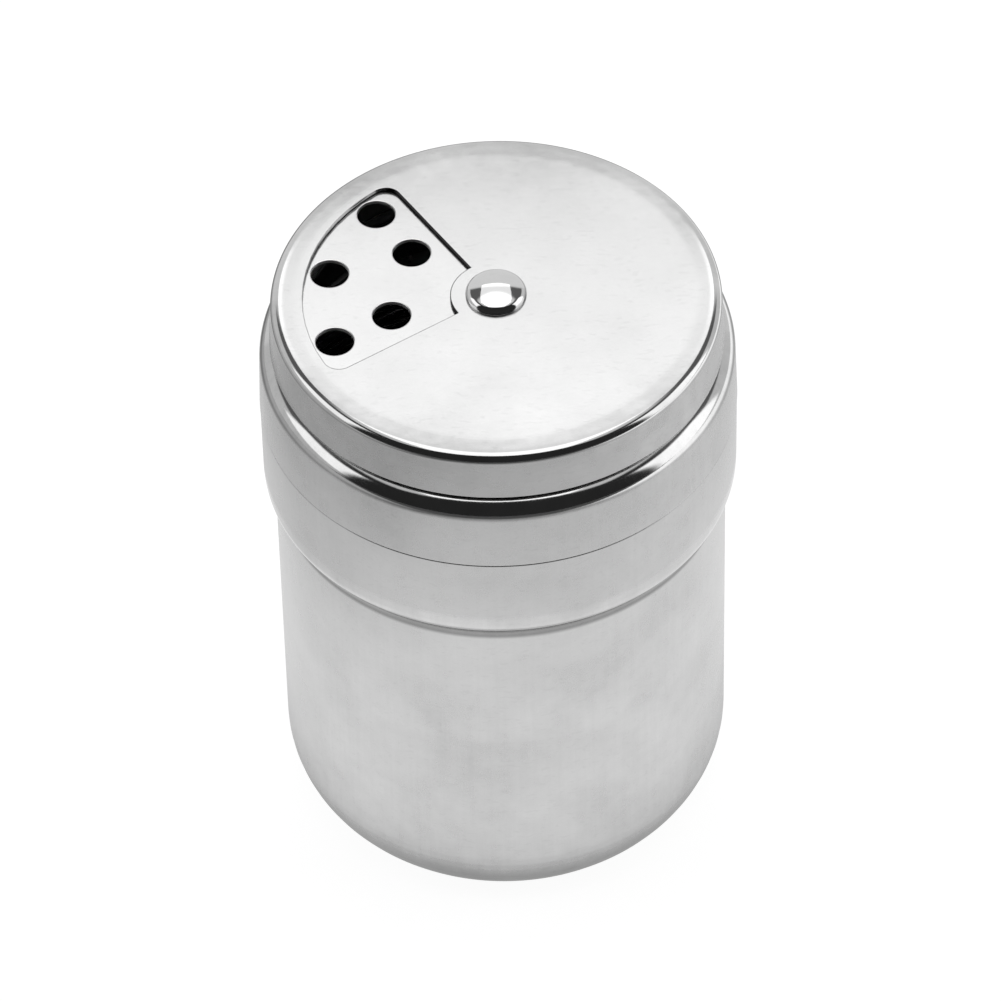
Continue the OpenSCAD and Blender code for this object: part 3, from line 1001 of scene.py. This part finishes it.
def turned_steel(name):
    """Steel with the fine rings that a lathe tool leaves."""
    material = bpy.data.materials.new(name)
    bench = Bench(material)
    place = bench.place()
    z = bench.parts(place)[2]
    across = bench.node("ShaderNodeCombineXYZ", {}, {"X": bench.from_axis(place), "Y": z})
    rings = bench.noise(across, **TOOL_RINGS)
    cloud = bench.noise(place, **WASHER_CLOUD)
    bench.surface({
        "Base Color": bench.grey(WASHER_TONE + WASHER_CLOUD_TONE * cloud + TOOL_RINGS_TONE * rings),
        "Metallic": 1.0,
        "Roughness": WASHER_ROUGH + WASHER_CLOUD_ROUGH * cloud + TOOL_RINGS_ROUGH * rings,
        "Normal": bench.bump(rings, TOOL_RINGS_UM),
    })
    return material


washer_finish = turned_steel("washer_turned_steel")
for washer in (spring, backing):
    washer.data.materials.append(washer_finish)
print("washers:", washer_finish.name)

# %% The liner and the seal
PLASTIC_TONE = (0.86, 0.86, 0.83)
SILICONE_TONE = (0.82, 0.82, 0.8)
FLOW = {"size": (8, 8, 2.5), "detail": 3.0}
FLOW_TONE = 0.12
FLOW_ROUGH = 0.15
ERODED = {"size": (0.3, 0.3, 0.3), "detail": 2.0}
ERODED_TONE = 0.03
ERODED_UM = 8


def moulded(name, tone, roughness, scatter, clear):
    """A moulded soft material with faint flow clouds and a fine eroded skin."""
    material = bpy.data.materials.new(name)
    bench = Bench(material)
    place = bench.place()
    flow = bench.noise(place, **FLOW)
    eroded = bench.noise(place, **ERODED)
    uneven = 1 + FLOW_TONE * flow + ERODED_TONE * eroded
    red, green, blue = (part * uneven for part in tone)
    bench.surface({
        "Base Color": bench.node("ShaderNodeCombineColor", {}, {"Red": red, "Green": green, "Blue": blue}),
        "Roughness": roughness + FLOW_ROUGH * flow,
        "Normal": bench.bump(eroded, ERODED_UM),
        "Subsurface Weight": scatter,
        "Subsurface Radius": (MM, MM, MM),
        "Transmission Weight": clear,
    })
    return material


liner_finish = moulded("liner_white_plastic", PLASTIC_TONE, roughness=0.4, scatter=0.3, clear=0.0)
seal_finish = moulded("seal_clear_silicone", SILICONE_TONE, roughness=0.35, scatter=0.4, clear=0.2)
liner.data.materials.append(liner_finish)
seal.data.materials.append(seal_finish)
print("soft finishes:", liner_finish.name, seal_finish.name)

# %% [markdown]
# The floor
# The shaker stands on a white table. A plain white plane would do for a matt object, but polished steel
# mirrors the table. So the floor is white for the camera, and what the steel mirrors of it is a painted
# glow: brightest in a pool around the shaker, with a painted shadow close to its base, dimmer to the left
# and brighter to the right, dimming outwards, paler again far to the sides, and ending at an edge in
# front. The floor has a hole where the base hides it and lies a hair lower, so base and floor don't share
# one plane.

# %% Shape of the floor
FLOOR_R = 1000
HIDDEN_R = 20
FLOOR_GAP = 0.02

floor_bm = bmesh.new()
turn_profile(floor_bm, [(HIDDEN_R, -FLOOR_GAP), (FLOOR_R, -FLOOR_GAP)], closed=False)
floor_mesh = bpy.data.meshes.new("studio_floor")
floor_bm.to_mesh(floor_mesh)
floor_bm.free()
floor = bpy.data.objects.new("studio_floor", floor_mesh)
bpy.context.scene.collection.objects.link(floor)
print("floor:", 2 * FLOOR_R * MM, "m across")

# %% Finish of the floor
TABLE_EDGE = (-0.225, -0.205)
TABLE_GLOW = 0.24
POOL_Y = -0.009
POOL = (0.165, 0.055)
POOL_GLOW = 0.6
ASIDE = (0.08, 0.25)
ASIDE_GLOW = 0.34
LEFT = (-0.04, -0.1)
LEFT_GLOW = -0.18
RIGHT = (0.09, 0.24)
RIGHT_GLOW = 0.6
CONTACT_SHADOW = (0.022, 0.042)
CONTACT_SHADOW_GLOW = 0.4
CAMERA_WHITE = 0.93
FLOOR_COLOUR = (0.2, 0.2, 0.2, 1)

floor_material = bpy.data.materials.new("pale_floor")
bench = Bench(floor_material)
to_camera = bench.node("ShaderNodeLightPath", output="Is Camera Ray")
glossy = bench.node("ShaderNodeLightPath", output="Is Glossy Ray")
through = bench.node("ShaderNodeLightPath", output="Is Transmission Ray")
place = bench.place()
x, y = bench.parts(place)[:2]
# Painted shadow: what the steel mirrors of the floor darkens close to the base
out_of_contact_shadow = bench.between(bench.from_axis(place), *CONTACT_SHADOW)
table = bench.between(y, *TABLE_EDGE) * (CONTACT_SHADOW_GLOW + (1 - CONTACT_SHADOW_GLOW) * out_of_contact_shadow)
pool = bench.between((x * x + (y - POOL_Y) ** 2) ** 0.5, *POOL)
aside = ASIDE_GLOW * bench.between(abs(x), *ASIDE)
# Painted light: what the steel mirrors of the floor is dimmer to the left and brighter to the right
uneven = LEFT_GLOW * bench.between(x, *LEFT) + RIGHT_GLOW * bench.between(x, *RIGHT)
mirrored = table * (TABLE_GLOW + POOL_GLOW * pool + aside + uneven)
glow = to_camera * CAMERA_WHITE + glossy.at_least(through) * mirrored
glowing = bench.node("ShaderNodeEmission", {}, {"Strength": glow})
paint = bench.node("ShaderNodeBsdfDiffuse", {}, {"Color": FLOOR_COLOUR})
both = bench.node("ShaderNodeAddShader", {}, {0: glowing, 1: paint})
bench.node("ShaderNodeOutputMaterial", {}, {"Surface": both})
floor_mesh.materials.append(floor_material)
print("floor finish:", len(floor_material.node_tree.nodes), "nodes")

# %% [markdown]
# The light
# Polished steel shows its surroundings, so the surroundings are what makes it look like the photograph.
# Panels could be built as objects all around, but only the softbox hangs near enough for its place to
# matter. The rest is far away and is painted on the world by direction: a grey backdrop behind, a lit
# panel before a grey wall on each side, and a pale ceiling. The room in front is dark, and that draws the
# black lines on the rim and the shoulder.

# %% The softbox
SOFTBOX_ABOVE = 0.20
SOFTBOX_WIDTH = 0.15
SOFTBOX_FRONT = -0.078
SOFTBOX_BACK = 0.226
SOFTBOX_RADIANCE = 0.93

softbox_depth = SOFTBOX_BACK - SOFTBOX_FRONT
lamp = bpy.data.lights.new("softbox", "AREA")
lamp.shape = "RECTANGLE"
lamp.size = SOFTBOX_WIDTH
lamp.size_y = softbox_depth
lamp.energy = SOFTBOX_RADIANCE * math.pi * SOFTBOX_WIDTH * softbox_depth
softbox = bpy.data.objects.new("softbox", lamp)
softbox.location = (0, (SOFTBOX_FRONT + SOFTBOX_BACK) / 2, cover_top * MM + SOFTBOX_ABOVE)
softbox.visible_camera = False
bpy.context.scene.collection.objects.link(softbox)
print("softbox:", round(lamp.energy, 3), "W")

# %% What stands in the room
BACKDROP = 0.84
BACKDROP_EDGE = (0.65, 0.71)
RIGHT_PANEL = 1.7
RIGHT_LEAN = 0.4
RIGHT_LOW_EDGE = (-0.1, -0.04)
LEFT_PANEL = 1.6
LEFT_LEAN = 0.35
LEFT_LOW_EDGE = (0.16, 0.26)
PANEL_BACK_EDGE = (0.42, 0.3)
PANEL_TOP_EDGE = (0.74, 0.66)
MIDDLE_EDGE = 0.05
SIDE_WALL = 0.68
WALL_BACK_EDGE = (0.9, 0.8)
WALL_TOP_EDGE = (0.58, 0.5)
FRONT_EDGE = (-0.42, -0.3)
CEILING = 0.8
CEILING_LOW_EDGE = (0.82, 0.88)
CEILING_FRONT_EDGE = (-0.3, -0.2)
DUSK = 0.12
DUSK_EDGE = (-0.1, 0.2)
DARK = 0.03
print("room: backdrop", BACKDROP, "panels", RIGHT_PANEL, LEFT_PANEL, "dark", DARK)

# %% Paint the room on the world
world = bpy.data.worlds.new("studio_room")
bpy.context.scene.world = world
bench = Bench(world)
side, behind, above = bench.parts(bench.node("ShaderNodeTexCoord", output="Generated"))
turn = behind / (side * side + behind * behind) ** 0.5
backdrop = BACKDROP * bench.between(behind, *BACKDROP_EDGE)
beside = bench.between(turn, *FRONT_EDGE)
right_low = bench.between(above - RIGHT_LEAN * turn, *RIGHT_LOW_EDGE)
right_panel = RIGHT_PANEL * bench.between(side, 0, MIDDLE_EDGE) * right_low
left_low = bench.between(above - LEFT_LEAN * turn, *LEFT_LOW_EDGE)
left_panel = LEFT_PANEL * bench.between(side, 0, -MIDDLE_EDGE) * left_low
panel = beside * bench.between(turn, *PANEL_BACK_EDGE) * bench.between(above, *PANEL_TOP_EDGE)
panel = panel * right_panel.at_least(left_panel)
side_wall = SIDE_WALL * beside * bench.between(turn, *WALL_BACK_EDGE) * bench.between(above, *WALL_TOP_EDGE)
ceiling = CEILING * bench.between(above, *CEILING_LOW_EDGE) * bench.between(behind, *CEILING_FRONT_EDGE)
brightest = backdrop.at_least(panel).at_least(side_wall).at_least(ceiling)
light = DARK + DUSK * bench.between(behind, *DUSK_EDGE) + brightest
to_camera = bench.node("ShaderNodeLightPath", output="Is Camera Ray")
shown = to_camera + (1 - to_camera) * light
background = bench.node("ShaderNodeBackground", {}, {"Strength": shown})
bench.node("ShaderNodeOutputWorld", {}, {"Surface": background})
print("world:", len(world.node_tree.nodes), "nodes")

# %% [markdown]
# Closing
# Colours stay as they are written with the Standard view.

# %% The view
bpy.context.scene.view_settings.view_transform = "Standard"
